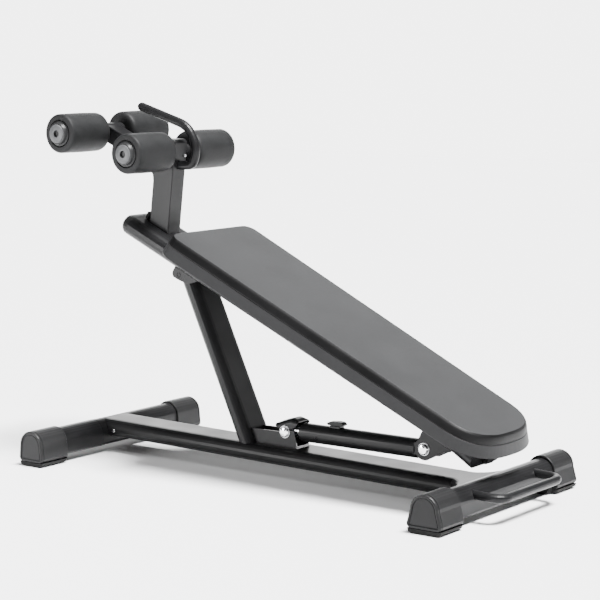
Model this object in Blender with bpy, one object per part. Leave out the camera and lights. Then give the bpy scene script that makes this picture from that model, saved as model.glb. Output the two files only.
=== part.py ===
"""Decline sit up bench: steel base frame, tilting board, telescopic strut and four foam rollers."""
import bpy
import bmesh
from math import sin, cos, pi, radians, sqrt, atan2, hypot
from mathutils import Vector

GAP = 0.0003                      # running gap kept between neighbouring pieces

# ---- base frame ----
REAR_BAR_X = -0.706               # crossbar centre at the roller end
FRONT_BAR_X = 0.646               # crossbar centre at the low end
BAR_HALF_WIDTH = 0.037            # arch-section tube, half width and crown radius
REAR_BAR_BOTTOM = 0.022
FRONT_BAR_BOTTOM = 0.020
BAR_HEIGHT = 0.075
REAR_HALF_SPAN = 0.3615           # centre line to the outer face of a foot cap
FRONT_HALF_SPAN = 0.350
CAP_LENGTH = 0.110
SLEEVE_GROW = 0.0014              # wall of the sleeve around the rear crossbar
CAP_TOP = 0.1035
CAP_BOTTOM = 0.0130
BEAM_FLAT = 0.087                 # flat part of the flat-oval tube
BEAM_THICK = 0.050
BEAM_TOP_MID = 0.08635            # height of the beam's top face at x = 0
BEAM_SLOPE = -0.015               # the beam falls slightly toward the low end
WING_START = 0.545                # the beam starts to flare here
WING_END = 0.607
HANDLE_RADIUS = 0.012
HANDLE_GRIP_X = 0.7560

# ---- support post and hinge ----
POST_LEAN = radians(24.8)
POST_X, POST_Z = -0.181, 0.135    # a point on the post axis
POST_FLAT, POST_THICK = 0.061, 0.051
HINGE_X, HINGE_Z = -0.3885, 0.5555
HINGE_BARREL_R = 0.012
HINGE_PIN_R = 0.0060
POST_HALF_WIDTH = (POST_FLAT + POST_THICK) / 2

# ---- board, in the board frame: x down the board from the hinge, z square to it ----
BOARD_ANGLE = radians(25.16)
PAD_START = 0.0015
PAD_LENGTH = 1.133
PAD_TOP, PAD_SPLIT, PAD_BOTTOM = 0.1470, 0.1232, 0.0925
PAD_HALF_HEAD, PAD_HALF_FOOT = 0.182, 0.157   # at the top face; the sides splay outward below it
PAD_SPLAY = 0.0275                # how far the sides have splayed at the bottom of the cover
PAD_CORNER = 0.034
NOSE_CENTRE, NOSE_LENGTH, NOSE_POWER = 1.0, 0.122, 2.7
SPINE_FLAT, SPINE_THICK = 0.110, 0.0565
SPINE_LOW, SPINE_RISE = 0.0160, 0.0180        # underside at the hinge, and its rise per metre
SPINE_START, SPINE_BEND, SPINE_END = -0.222, 1.010, 1.0890
SPINE_DROOP = 0.0105              # how far the low end of the spine is bent down

# ---- strut ----
PIVOT_B = (-0.0295, 0.1312)
PIVOT_C_BOARD = (0.9285, -0.0215)
EYE_RISE = 0.0080                 # the upper eye sits this far above the tube's axis
STRUT_OUTER_R, STRUT_BORE_R, STRUT_INNER_R = 0.027, 0.0215, 0.0190
STRUT_MOUTH = 0.045               # mouth of the outer tube, from pivot B
BOLT_R = 0.0060
EYE_BORE_R = 0.0110               # wide eye at the low pivot, takes up the strut's misfit
LOCK_X = 0.160                    # pop pin and first lock hole, from pivot B
LOCK_PITCH = 0.0249               # one lock hole for every three degrees of the board

# ---- roller head ----
REAR_AXLE = (-0.711, 0.961)
FRONT_AXLE = (-0.454, 0.910)
ROLLER_R = 0.0575
ROLLER_IN, ROLLER_OUT = 0.050, 0.2145
AXLE_R = 0.010
COLUMN_HALF_X, COLUMN_HALF_Y = 0.0367, 0.028
COLUMN_TOP = 0.945


# ------------------------------------------------------------------ helpers
def clear_scene():
    for obj in list(bpy.data.objects):
        bpy.data.objects.remove(obj, do_unlink=True)


def paint(name, rgb, rough, metal=0.0):
    mat = bpy.data.materials.get(name)
    if mat is None:
        mat = bpy.data.materials.new(name)
        mat.use_nodes = True
        node = mat.node_tree.nodes["Principled BSDF"]
        node.inputs["Base Color"].default_value = (rgb[0], rgb[1], rgb[2], 1.0)
        node.inputs["Roughness"].default_value = rough
        node.inputs["Metallic"].default_value = metal
        mat.diffuse_color = (rgb[0], rgb[1], rgb[2], 1.0)
    return mat


def frame_paint():
    return paint("frame_paint", (0.055, 0.056, 0.058), 0.42)


def black_plastic():
    return paint("black_plastic", (0.05, 0.05, 0.052), 0.5)


def black_rubber():
    return paint("black_rubber", (0.02, 0.02, 0.02), 0.8)


def chrome():
    return paint("chrome", (0.75, 0.75, 0.76), 0.15, 1.0)


def zinc():
    return paint("zinc", (0.5, 0.5, 0.51), 0.35, 1.0)


def empty(name, location, rotation=(0.0, 0.0, 0.0), parent=None):
    obj = bpy.data.objects.new(name, None)
    obj.empty_display_size = 0.03
    bpy.context.scene.collection.objects.link(obj)
    obj.location = location
    obj.rotation_euler = rotation
    obj.parent = parent
    return obj


def finish_mesh(name, bm, mat, parent=None, location=(0, 0, 0), smooth=True):
    bmesh.ops.remove_doubles(bm, verts=bm.verts, dist=1e-7)
    bmesh.ops.recalc_face_normals(bm, faces=bm.faces)
    if bm.calc_volume(signed=True) < 0:
        bmesh.ops.reverse_faces(bm, faces=bm.faces)
    mesh = bpy.data.meshes.new(name)
    bm.to_mesh(mesh)
    bm.free()
    obj = bpy.data.objects.new(name, mesh)
    bpy.context.scene.collection.objects.link(obj)
    mesh.materials.append(mat)
    if smooth:
        mesh.shade_smooth()
        mesh.set_sharp_from_angle(angle=radians(35))
    obj.parent = parent
    obj.location = location
    return obj


def loft(name, rings, mat, **kw):
    """Skin a list of equal-length closed rings and cap both ends."""
    bm = bmesh.new()
    rows = [[bm.verts.new(p) for p in ring] for ring in rings]
    count = len(rows[0])
    for a, b in zip(rows, rows[1:]):
        for i in range(count):
            j = (i + 1) % count
            bm.faces.new((a[i], a[j], b[j], b[i]))
    bm.faces.new(rows[0])
    bm.faces.new(rows[-1])
    return finish_mesh(name, bm, mat, **kw)


def prism(name, outline, y0, y1, mat, bevel=0.0, **kw):
    """Extrude an (x, z) outline along Y."""
    rings = [[(x, y0, z) for x, z in outline], [(x, y1, z) for x, z in outline]]
    obj = loft(name, rings, mat, **kw)
    if bevel:
        add_bevel(obj, bevel)
    return obj


def turned(name, profile, mat, centre=(0, 0, 0), axis="Y", segments=32, ring=False, **kw):
    """Turn a profile of (radius, distance along the axis) points; a ring closes on itself."""
    bm = bmesh.new()
    rows = []
    for r, a in profile:
        row = []
        steps = 1 if r < 1e-9 else segments
        for k in range(steps):
            t = 2 * pi * k / segments
            u, v = r * cos(t), r * sin(t)
            if axis == "Y":
                p = (u, a, v)
            elif axis == "X":
                p = (a, u, v)
            else:
                p = (u, v, a)
            row.append(bm.verts.new((p[0] + centre[0], p[1] + centre[1], p[2] + centre[2])))
        rows.append(row)
    pairs = list(zip(rows, rows[1:]))
    if ring:
        pairs.append((rows[-1], rows[0]))
    for a, b in pairs:
        for k in range(segments):
            j = (k + 1) % segments
            if len(a) == 1 and len(b) > 1:
                bm.faces.new((a[0], b[j], b[k]))
            elif len(b) == 1 and len(a) > 1:
                bm.faces.new((a[k], a[j], b[0]))
            elif len(a) > 1:
                bm.faces.new((a[k], a[j], b[j], b[k]))
    return finish_mesh(name, bm, mat, **kw)


def sweep(name, path, radius, mat, segments=16, dome=True, **kw):
    """Round bar along a path of points; the ends are domed or flat."""
    pts = [Vector(p) for p in path]
    side = None
    rings = []
    for i, p in enumerate(pts):
        before = pts[max(i - 1, 0)]
        after = pts[min(i + 1, len(pts) - 1)]
        along = (after - before).normalized()
        if side is None:
            side = along.orthogonal().normalized()
        side = (side - along * side.dot(along)).normalized()
        up = along.cross(side)
        steps = [(0.0, 1.0)]
        if dome and i == 0:
            steps = [(-0.97, 0.25), (-0.80, 0.60), (-0.45, 0.89), (0.0, 1.0)]
        if dome and i == len(pts) - 1:
            steps = [(0.0, 1.0), (0.45, 0.89), (0.80, 0.60), (0.97, 0.25)]
        for shift, size in steps:
            c = p + along * shift * radius
            ring = []
            for k in range(segments):
                t = 2 * pi * k / segments
                ring.append(c + side * (radius * size * cos(t)) + up * (radius * size * sin(t)))
            rings.append(ring)
    return loft(name, rings, mat, **kw)


def add_bevel(obj, width, segments=2, angle=50):
    mod = obj.modifiers.new("edge", "BEVEL")
    mod.width = width
    mod.segments = segments
    mod.limit_method = "ANGLE"
    mod.angle_limit = radians(angle)
    return mod


def cut(obj, cutters, operation="DIFFERENCE"):
    """Apply a Boolean with each cutter, bake the result, then drop the cutters."""
    for cutter in cutters:
        cutter.hide_render = True
        cutter.display_type = "WIRE"
        mod = obj.modifiers.new("cut_" + cutter.name, "BOOLEAN")
        mod.operation = operation
        mod.solver = "EXACT"
        mod.object = cutter
    bpy.context.view_layer.update()
    depsgraph = bpy.context.evaluated_depsgraph_get()
    mesh = bpy.data.meshes.new_from_object(obj.evaluated_get(depsgraph))
    obj.modifiers.clear()
    obj.data = mesh
    mesh.set_sharp_from_angle(angle=radians(35))
    for cutter in cutters:
        bpy.data.objects.remove(cutter, do_unlink=True)
    return obj


def arc(cx, cz, r, a0, a1, count):
    return [(cx + r * cos(radians(a0 + (a1 - a0) * k / count)),
             cz + r * sin(radians(a0 + (a1 - a0) * k / count))) for k in range(count + 1)]


def oval(flat, thick, count=10):
    """Flat-oval outline centred on the origin as (across, height) points."""
    r = thick / 2
    right = arc(flat / 2, 0, r, -90, 90, count)
    left = arc(-flat / 2, 0, r, 90, 270, count)
    return right + left


def arch(half, bottom, top, flare=0.0, corner=0.008, inset=0.0, crown=None):
    """Arch-section outline (x, z): round crown, straight or flared sides, rounded lower corners."""
    radius = (half if crown is None else crown) - inset
    crown_z = top - inset - radius
    foot = half + flare - inset
    low = bottom + inset
    c = max(corner - inset, 0.0015)
    pts = arc(0, crown_z, radius, 0, 180, 14)
    pts += arc(-foot + c, low + c, c, 180, 270, 3)
    pts += arc(foot - c, low + c, c, 270, 360, 3)
    return pts


def beam_top(x):
    return BEAM_TOP_MID + BEAM_SLOPE * x


def board_point(x, z):
    """World (x, z) of a point given in the board frame, board at rest."""
    s, c = sin(BOARD_ANGLE), cos(BOARD_ANGLE)
    return HINGE_X + x * c + z * s, HINGE_Z - x * s + z * c


def to_board(x, z):
    s, c = sin(BOARD_ANGLE), cos(BOARD_ANGLE)
    dx, dz = x - HINGE_X, z - HINGE_Z
    return dx * c - dz * s, dx * s + dz * c


def spine_low(x):
    return SPINE_LOW + SPINE_RISE * x


def spine_high(x):
    return spine_low(x) + SPINE_THICK


def board_outline(inset=0.0):
    """Board outline as (along, across): square head with round corners, tapered, round nose."""
    head = PAD_START + (inset if inset > 0 else inset * 0.4)
    half_head = PAD_HALF_HEAD - inset
    half_foot = PAD_HALF_FOOT - inset
    corner = PAD_CORNER - inset
    side = []
    for k in range(7):
        t = radians(90 * k / 6)
        side.append((head + corner - corner * cos(t), half_head - corner + corner * sin(t)))
    centre = PAD_START + NOSE_CENTRE
    side.append((centre * 0.35, half_head + (half_foot - half_head) * 0.35))
    side.append((centre * 0.7, half_head + (half_foot - half_head) * 0.7))
    steps = 20
    for k in range(steps + 1):
        t = pi / 2 * (1 - k / steps)
        x = centre + (NOSE_LENGTH - inset) * cos(t) ** (2 / NOSE_POWER)
        side.append((x, half_foot * abs(sin(t)) ** (2 / NOSE_POWER)))
    mirror = [(x, -y) for x, y in reversed(side[:-1])]
    return side + mirror


# ------------------------------------------------------------------ base frame
def crossbar(name, x, bottom, half_span, mat):
    outline = arch(BAR_HALF_WIDTH, bottom, bottom + BAR_HEIGHT)
    end = half_span - 0.014
    return prism(name, [(x + px, pz) for px, pz in outline], -end, end, mat)


def bar_cutter(name, x, bottom):
    grown = arch(BAR_HALF_WIDTH, bottom, bottom + BAR_HEIGHT, inset=-GAP)
    return prism(name, [(x + px, pz) for px, pz in grown], -0.4, 0.4, frame_paint())


def foot_cap(name, x, side, half_span, bar_bottom, flare):
    """Moulded end cap: inset end panel, shadow groove, flared body, open pocket for the tube."""
    half, corner = 0.0425, 0.012

    def ring(y, inset):
        pts = arch(half, CAP_BOTTOM, CAP_TOP, flare=flare, corner=corner, inset=inset)
        return [(x + px, side * y, pz) for px, pz in pts]

    def pocket(y):
        pts = arch(BAR_HALF_WIDTH, bar_bottom, bar_bottom + BAR_HEIGHT, inset=-GAP)
        return [(x + px, side * y, pz) for px, pz in pts]

    e = half_span
    steps = [(e - 0.0012, 0.0135), (e - 0.0012, 0.0105), (e - 0.0030, 0.0100), (e - 0.0030, 0.0085),
             (e - 0.0008, 0.0080), (e, 0.0062), (e, 0.0042), (e - 0.0010, 0.0016), (e - 0.0034, 0.0002),
             (e - 0.0080, 0.0), (e - 0.0086, 0.0014), (e - 0.0100, 0.0014), (e - 0.0106, 0.0),
             (e - CAP_LENGTH + 0.0015, 0.0), (e - CAP_LENGTH, 0.0012)]
    rings = [ring(y, inset) for y, inset in steps]
    rings += [pocket(e - CAP_LENGTH), pocket(e - 0.0135)]
    return loft(name, rings, black_plastic())


def rubber_foot(name, x, side, half_span, lug, flare):
    """Rubber pad under a cap, rising to a lug under the tube at its inner end."""
    half = 0.0425 + flare - 0.001
    e = half_span
    inner = e - CAP_LENGTH

    def ring(y, top, grow=0.0):
        low = half - 0.012 + grow
        wide = half + grow
        pts = [(-low, 0.0), (low, 0.0), (wide - 0.003, 0.005), (wide, top), (-wide, top), (-wide + 0.003, 0.005)]
        return [(x + px, side * y, pz) for px, pz in pts]

    deck = CAP_BOTTOM - GAP
    rings = [ring(e - 0.0010, deck, -0.004), ring(e - 0.0035, deck), ring(inner + 0.006, deck),
             ring(inner - 0.0004, deck, -0.004)]
    rings.append(ring(inner - 0.0010, lug, -0.014))
    rings.append(ring(inner - 0.0150, lug, -0.016))
    rings.append(ring(inner - 0.0185, lug - 0.006, -0.019))
    return loft(name, rings, black_rubber())


def feet():
    spans = (("rear", REAR_BAR_X, REAR_HALF_SPAN, REAR_BAR_BOTTOM, 0.0035),
             ("front", FRONT_BAR_X, FRONT_HALF_SPAN, FRONT_BAR_BOTTOM, 0.0100))
    for end, x, span, bottom, flare in spans:
        for tag, side in (("near", -1), ("far", 1)):
            foot_cap(f"foot_cap_{end}_{tag}", x, side, span, bottom, flare)
            lug = bottom - GAP - (SLEEVE_GROW + GAP if end == "rear" else 0.0)
            rubber_foot(f"rubber_foot_{end}_{tag}", x, side, span, lug, flare)


def bar_ring(name, y0, y1, grow):
    """Arch-shaped ring around the rear crossbar."""
    def ring(y, inset):
        pts = arch(BAR_HALF_WIDTH, REAR_BAR_BOTTOM, REAR_BAR_BOTTOM + BAR_HEIGHT, inset=inset)
        return [(REAR_BAR_X + px, y, pz) for px, pz in pts]

    bm = bmesh.new()
    soft = 0.0008
    rings = [ring(y0, -GAP), ring(y0, -grow + soft), ring(y0 + soft, -grow),
             ring(y1 - soft, -grow), ring(y1, -grow + soft), ring(y1, -GAP)]
    rows = [[bm.verts.new(p) for p in r] for r in rings]
    count = len(rows[0])
    for a, b in zip(rows, rows[1:] + rows[:1]):
        for i in range(count):
            j = (i + 1) % count
            bm.faces.new((a[i], a[j], b[j], b[i]))
    return finish_mesh(name, bm, frame_paint())


def crossbars():
    crossbar("rear_crossbar", REAR_BAR_X, REAR_BAR_BOTTOM, REAR_HALF_SPAN, frame_paint())
    crossbar("front_crossbar", FRONT_BAR_X, FRONT_BAR_BOTTOM, FRONT_HALF_SPAN, frame_paint())
    bar_ring("rear_bar_sleeve", -(REAR_HALF_SPAN - CAP_LENGTH) + 0.0008, -0.0905, SLEEVE_GROW)
    bar_ring("rear_bar_collar", -0.0900, -0.0790, 0.0009)


def beam_flat(x):
    """Flat width of the beam; it flares into the front crossbar."""
    if x <= WING_START:
        return BEAM_FLAT
    grow = 0.0031 * (1 / (0.625 - min(x, WING_END)) - 1 / (0.625 - WING_START))
    return BEAM_FLAT + 2 * max(grow, 0.0)


def main_beam():
    stations = [REAR_BAR_X, -0.3, 0.2, WING_START, 0.555, 0.563, 0.571, 0.579, 0.586, 0.592, 0.597,
                0.601, 0.604, WING_END, FRONT_BAR_X]
    rings = []
    for x in stations:
        mid = beam_top(x) - BEAM_THICK / 2
        rings.append([(x, a, mid + h) for a, h in oval(beam_flat(x), BEAM_THICK)])
    obj = loft("main_beam", rings, frame_paint())
    bolt_hole = turned("bolt_hole", [(0, -0.09), (0.0032, -0.09), (0.0032, -0.052), (0, -0.052)],
                       frame_paint(), centre=(-0.640, 0, beam_top(-0.64) - 0.027), segments=16)
    cutters = [bar_cutter("rear_saddle", REAR_BAR_X, REAR_BAR_BOTTOM),
               bar_cutter("front_saddle", FRONT_BAR_X, FRONT_BAR_BOTTOM), bolt_hole]
    return cut(obj, cutters)


def beam_bolt():
    """Small bolt in the near side of the beam beside the rear crossbar."""
    profile = [(0, -0.0775), (0.0042, -0.0772), (0.0052, -0.0758), (0.0052, -0.0700), (0.0029, -0.0700),
               (0.0029, -0.0530), (0, -0.0530)]
    return turned("beam_bolt", profile, zinc(), centre=(-0.640, 0, beam_top(-0.64) - 0.027), segments=20)


def lifting_handle():
    """Bent round bar on the front face of the front crossbar."""
    x0, x1 = FRONT_BAR_X + 0.025, HANDLE_GRIP_X
    z0, z1 = 0.0730, 0.0690
    half, r = 0.157, 0.034
    corner = []
    for k in range(9):
        t = radians(90 * k / 8)
        corner.append((x1 - r + r * sin(t), half - r + r * cos(t)))
    side = [(x0, half)] + corner
    path = [(x, y, z0 + (z1 - z0) * (x - x0) / (x1 - x0)) for x, y in side]
    path += [(x1, y, z1) for y in (0.06, 0.0, -0.06)]
    path += [(x, -y, z) for x, y, z in reversed(path[:len(side)])]
    obj = sweep("lifting_handle", path, HANDLE_RADIUS, frame_paint(), dome=False)
    return cut(obj, [bar_cutter("handle_saddle", FRONT_BAR_X, FRONT_BAR_BOTTOM)])


def support_post():
    """Leaning flat-oval post, saddle-cut over the beam and under the hinge barrel."""
    s, c = sin(POST_LEAN), cos(POST_LEAN)
    top = (HINGE_Z - POST_Z) * c + (POST_X - HINGE_X) * s - 0.004

    def ring(t):
        return [(POST_X - t * s + h * c, a, POST_Z + t * c + h * s) for a, h in oval(POST_FLAT, POST_THICK)]

    obj = loft("support_post", [ring(-0.085), ring(top)], frame_paint())
    around = beam_top(-0.17) - BEAM_THICK / 2
    grown = [(a, h) for a, h in oval(BEAM_FLAT, BEAM_THICK + 2 * GAP)]
    rings = [[(x, a, around + BEAM_SLOPE * (x + 0.17) + h) for a, h in grown] for x in (-0.35, 0.05)]
    beam_cutter = loft("beam_saddle", rings, frame_paint())
    barrel = turned("barrel_seat", [(0, -0.08), (HINGE_BARREL_R + GAP, -0.08),
                                    (HINGE_BARREL_R + GAP, 0.08), (0, 0.08)],
                    frame_paint(), centre=(HINGE_X, 0, HINGE_Z))
    under = prism("under_beam", [(-0.30, -0.02), (0.0, -0.02), (0.0, 0.0632), (-0.30, 0.0632)],
                  -0.1, 0.1, frame_paint())
    corners = ((-0.08, 0.0125), (0.09, 0.0150), (0.09, 0.06), (-0.08, 0.06))
    swing = prism("swing_clearance", [board_point(x, z) for x, z in corners], -0.1, 0.1, frame_paint())
    return cut(obj, [beam_cutter, under, barrel, swing])


def hinge_barrel():
    half = POST_HALF_WIDTH - 0.0005
    ring = [(HINGE_PIN_R + GAP, -half), (HINGE_BARREL_R - 0.001, -half), (HINGE_BARREL_R, -half + 0.001),
            (HINGE_BARREL_R, half - 0.001), (HINGE_BARREL_R - 0.001, half), (HINGE_PIN_R + GAP, half)]
    return turned("hinge_barrel", ring, frame_paint(), centre=(HINGE_X, 0, HINGE_Z), ring=True, segments=32)


def clevis_bracket():
    """Two cheek plates on a floor plate; the cheeks' round heads carry the strut's lower bolt."""
    bx, bz = PIVOT_B
    head = 0.0190
    front = POST_X + (POST_THICK / 2 + GAP) / cos(POST_LEAN)
    lean = -sin(POST_LEAN) / cos(POST_LEAN)
    foot = beam_top(0) + GAP
    x_low = front + lean * (foot + 0.0022 - POST_Z)
    x_top = front + lean * (bz - 0.0030 - POST_Z)
    outline = [(x_low, beam_top(x_low) + GAP), (0.0135, beam_top(0.0135) + GAP), (0.0075, 0.118)]
    outline += [(0.0035, 0.1330), (0.0022, 0.1375)]
    outline += arc(bx, bz, head, 16, 184, 18)
    outline += [(x_top, bz - 0.0030)]
    obj = prism("strut_bracket", outline, -0.030, 0.030, frame_paint())
    channel = prism("channel", [(-0.30, 0.0935), (0.06, 0.0935), (0.06, 0.20), (-0.30, 0.20)],
                    -0.0255, 0.0255, frame_paint())
    bore = turned("bore", [(0, -0.05), (BOLT_R + GAP, -0.05), (BOLT_R + GAP, 0.05), (0, 0.05)],
                  frame_paint(), centre=(bx, 0, bz), segments=32)
    return cut(obj, [channel, bore])


def through_bolt(name, centre, face, parent=None):
    """Domed chrome head on the near side, shank, and nut on the far side."""
    profile = [(0, -face - 0.0070), (0.0060, -face - 0.0068), (0.0120, -face - 0.0056),
               (0.0150, -face - 0.0030), (0.0155, -face - GAP), (BOLT_R, -face - GAP),
               (BOLT_R, face + GAP), (0.0100, face + GAP), (0.0105, face + 0.0010), (0.0105, face + 0.0080),
               (0.0090, face + 0.0092), (0, face + 0.0092)]
    return turned(name, profile, chrome(), centre=centre, parent=parent, segments=28)


def washer(name, centre, y0, y1, radius, parent=None):
    ring = [(BOLT_R + GAP, y0), (radius - 0.0006, y0), (radius, y0 + 0.0006), (radius, y1 - 0.0006),
            (radius - 0.0006, y1), (BOLT_R + GAP, y1)]
    return turned(name, ring, zinc(), centre=centre, ring=True, parent=parent, segments=28)


# ------------------------------------------------------------------ board
def spine_ring(x, shrink=1.0):
    """Flat-oval section of the spine, shrunk toward its centre for the domed cap."""
    mid = spine_low(x) + SPINE_THICK / 2
    return [(x, a, mid + h) for a, h in oval(SPINE_FLAT * shrink, SPINE_THICK * shrink)]


def spine(board):
    end = [(x, a, h - SPINE_DROOP) for x, a, h in spine_ring(SPINE_END)]
    rings = [spine_ring(SPINE_START), spine_ring(SPINE_BEND), end]
    loft("spine_tube", rings, frame_paint(), parent=board)
    head = SPINE_START - GAP
    rings = []
    for t in (0.0, 0.25, 0.45, 0.62, 0.76, 0.87, 0.95, 0.99):
        rings.append(spine_ring(head - 0.041 * t, (1 - t ** 2.4) ** (1 / 2.4)))
    loft("spine_cap_head", rings, black_plastic(), parent=board)
    x0 = SPINE_END + GAP
    z0 = spine_low(x0) - SPINE_DROOP
    block = [(x0, z0 + 0.009), (x0 + 0.0120, z0 + 0.010), (x0 + 0.0140, z0 + 0.013),
             (x0 + 0.0140, z0 + 0.046), (x0, z0 + 0.046)]
    prism("bumper", block, -0.018, 0.018, black_rubber(), bevel=0.002, parent=board)


def pad_mounts(board):
    """Two cross plates between the spine and the board's back cover."""
    for tag, x, wide in (("head", 0.10, 0.12), ("foot", 0.70, 0.12)):
        outline = [(x, spine_high(x) + GAP), (x + wide, spine_high(x + wide) + GAP),
                   (x + wide, PAD_BOTTOM - GAP), (x, PAD_BOTTOM - GAP)]
        prism(f"pad_mount_{tag}", outline, -0.060, 0.060, frame_paint(), bevel=0.0005, parent=board)


def board_slab(name, z_levels, mat, board):
    rings = [[(x, y, z) for x, y in board_outline(inset)] for z, inset in z_levels]
    return loft(name, rings, mat, parent=board)


def splay(z):
    return -PAD_SPLAY * (PAD_TOP - z) / (PAD_TOP - PAD_BOTTOM)


def pads(board):
    z = PAD_BOTTOM
    levels = ((z, splay(z) + 0.0022), (z + 0.0022, splay(z + 0.0022)),
              (PAD_SPLIT - 0.0018, splay(PAD_SPLIT)), (PAD_SPLIT - GAP, splay(PAD_SPLIT) + 0.0014))
    board_slab("back_cover", levels, black_plastic(), board)
    z = PAD_SPLIT
    levels = ((z, splay(z) + 0.0016), (z + 0.0020, splay(z + 0.0020)), (PAD_TOP - 0.0040, splay(PAD_TOP - 0.0040)),
              (PAD_TOP - 0.0012, 0.0008), (PAD_TOP, 0.0038))
    board_slab("cushion", levels, paint("upholstery", (0.12, 0.12, 0.125), 0.6), board)


def hinge_cheeks(board):
    """Side plates under the spine that carry the hinge pin."""
    outline = [(-0.0250, 0.0400), (-0.0240, 0.0190)]
    outline += arc(-0.0105, -0.0010, 0.0155, 165, 245, 8)
    outline += [(0.0000, -0.0145), (0.0260, -0.0110), (0.0480, -0.0020), (0.0640, 0.0130), (0.0680, 0.0400)]
    for tag, side in (("near", -1), ("far", 1)):
        y0, y1 = side * (POST_HALF_WIDTH + 0.0004), side * (POST_HALF_WIDTH + 0.0076)
        obj = prism(f"hinge_cheek_{tag}", outline, y0, y1, frame_paint())
        rings = []
        for x in (-0.1, 0.1):
            mid = spine_low(x) + SPINE_THICK / 2
            rings.append([(x, a, mid + h) for a, h in oval(SPINE_FLAT, SPINE_THICK + 2 * GAP)])
        spine_cut = loft("spine_cut", rings, frame_paint())
        bore = turned("pin_bore", [(0, -0.09), (HINGE_PIN_R + GAP, -0.09), (HINGE_PIN_R + GAP, 0.09), (0, 0.09)],
                      frame_paint(), segments=32)
        cut(obj, [spine_cut, bore])
        add_bevel(obj, 0.0008, segments=1, angle=60)
        obj.parent = board


def hinge_pin(board):
    half = POST_HALF_WIDTH + 0.0072
    profile = [(0, -half), (HINGE_PIN_R - 0.0008, -half), (HINGE_PIN_R, -half + 0.0008),
               (HINGE_PIN_R, half - 0.0008), (HINGE_PIN_R - 0.0008, half), (0, half)]
    turned("hinge_pin", profile, zinc(), parent=board, segments=32)


def pivot_lugs(board):
    """Two lugs under the low end of the spine about the strut's upper bolt."""
    cx, cz = PIVOT_C_BOARD
    def top(x):
        return spine_low(x) - GAP

    outline = [(cx - 0.026, top(cx - 0.026)), (cx - 0.0285, cz + 0.0160)]
    outline += arc(cx, cz, 0.0310, 152, 312, 16)
    outline += [(cx + 0.0600, 0.0070), (cx + 0.0740, 0.0150), (cx + 0.0760, top(cx + 0.076))]
    for tag, side in (("near", -1), ("far", 1)):
        obj = prism(f"pivot_lug_{tag}", outline, side * 0.029, side * 0.036, frame_paint())
        bore = turned("lug_bore", [(0, -0.06), (BOLT_R + GAP, -0.06), (BOLT_R + GAP, 0.06), (0, 0.06)],
                      frame_paint(), centre=(cx, 0, cz), segments=32)
        cut(obj, [bore])
        add_bevel(obj, 0.0010, segments=1, angle=60)
        obj.parent = board


def in_board(points):
    return [to_board(x, z) for x, z in points]


def roller_column(board):
    """Rounded box column on the spine with the arm out to the rear axle hub."""
    slope = 0.118

    def axis_x(z):
        return -0.489 + slope * (z - 0.735)

    def foot_point(offset):
        """Where the edge at this offset from the column axis meets the spine's top face."""
        low, high = 0.60, 0.80
        for _ in range(60):
            z = (low + high) / 2
            x, rise = to_board(axis_x(z) + offset, z)
            if rise > spine_high(x) + GAP:
                high = z
            else:
                low = z
        return axis_x(high) + offset, high

    h = COLUMN_HALF_X
    ax, az = REAR_AXLE
    lean = radians(22)
    down = (cos(lean), -sin(lean))
    up = (sin(lean), cos(lean))
    half = 0.021
    hub = 0.0252 + GAP
    outline = [foot_point(-h), (axis_x(0.822) - h, 0.822)]
    knee = (axis_x(0.850) - h, 0.850)
    side = 0.030
    outline += [(knee[0] - 0.0045, knee[1] - 0.0105), (knee[0] - 0.0145, knee[1] + 0.0035)]
    low_arm = (knee[0] - side, knee[1] + 0.0135)
    outline.append(low_arm)
    spread = 68
    start = -22
    for k in range(11):
        t = radians(start - spread + 2 * spread * k / 10)
        outline.append((ax + hub * cos(t), az + hub * sin(t)))
    reach = (-0.5035 - ax - up[0] * half) / down[0]
    outline.append((ax + down[0] * reach + up[0] * half, az + down[1] * reach + up[1] * half))
    r = 0.012
    x0, x1 = axis_x(COLUMN_TOP - r) - h, axis_x(COLUMN_TOP - r) + h
    outline += arc(x0 + r, COLUMN_TOP - r, r, 180, 90, 5)
    outline += arc(x1 - r, COLUMN_TOP - r, r, 90, 0, 5)
    outline.append(foot_point(h))
    obj = prism("roller_column", in_board(outline), -COLUMN_HALF_Y, COLUMN_HALF_Y, frame_paint())
    edge = obj.modifiers.new("edge", "BEVEL")
    edge.width = 0.009
    edge.segments = 4
    edge.limit_method = "WEIGHT"
    mark_long_edges(obj)
    cx, cz = to_board(FRONT_AXLE[0], FRONT_AXLE[1])
    bore = turned("axle_bore", [(0, -0.06), (AXLE_R + GAP, -0.06), (AXLE_R + GAP, 0.06), (0, 0.06)],
                  frame_paint(), centre=(cx, 0, cz), segments=32)
    cut(obj, [bore])
    obj.parent = board


def mark_long_edges(obj):
    """Weight the outline edges of a Y prism, except around the hub seat and across the foot."""
    mesh = obj.data
    weights = mesh.attributes.new("bevel_weight_edge", "FLOAT", "EDGE")
    hub = to_board(REAR_AXLE[0], REAR_AXLE[1])
    for edge in mesh.edges:
        a, b = (mesh.vertices[i].co for i in edge.vertices)
        flat = abs(a.y - b.y) < 1e-6
        seat = max(hypot(a.x - hub[0], a.z - hub[1]), hypot(b.x - hub[0], b.z - hub[1])) < 0.027
        foot = max(a.z - spine_high(a.x), b.z - spine_high(b.x)) < 0.002
        weights.data[edge.index].value = 1.0 if flat and not seat and not foot else 0.0


def column_block(board):
    """Small stop block on the spine behind the column's foot."""
    x, z = -0.2045, spine_high(-0.2045) + GAP
    prism("column_block", [(x - 0.010, z), (x, z + 0.0002), (x, z + 0.022), (x - 0.010, z + 0.022)],
          -0.020, 0.020, black_rubber(), bevel=0.001, parent=board)


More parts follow.
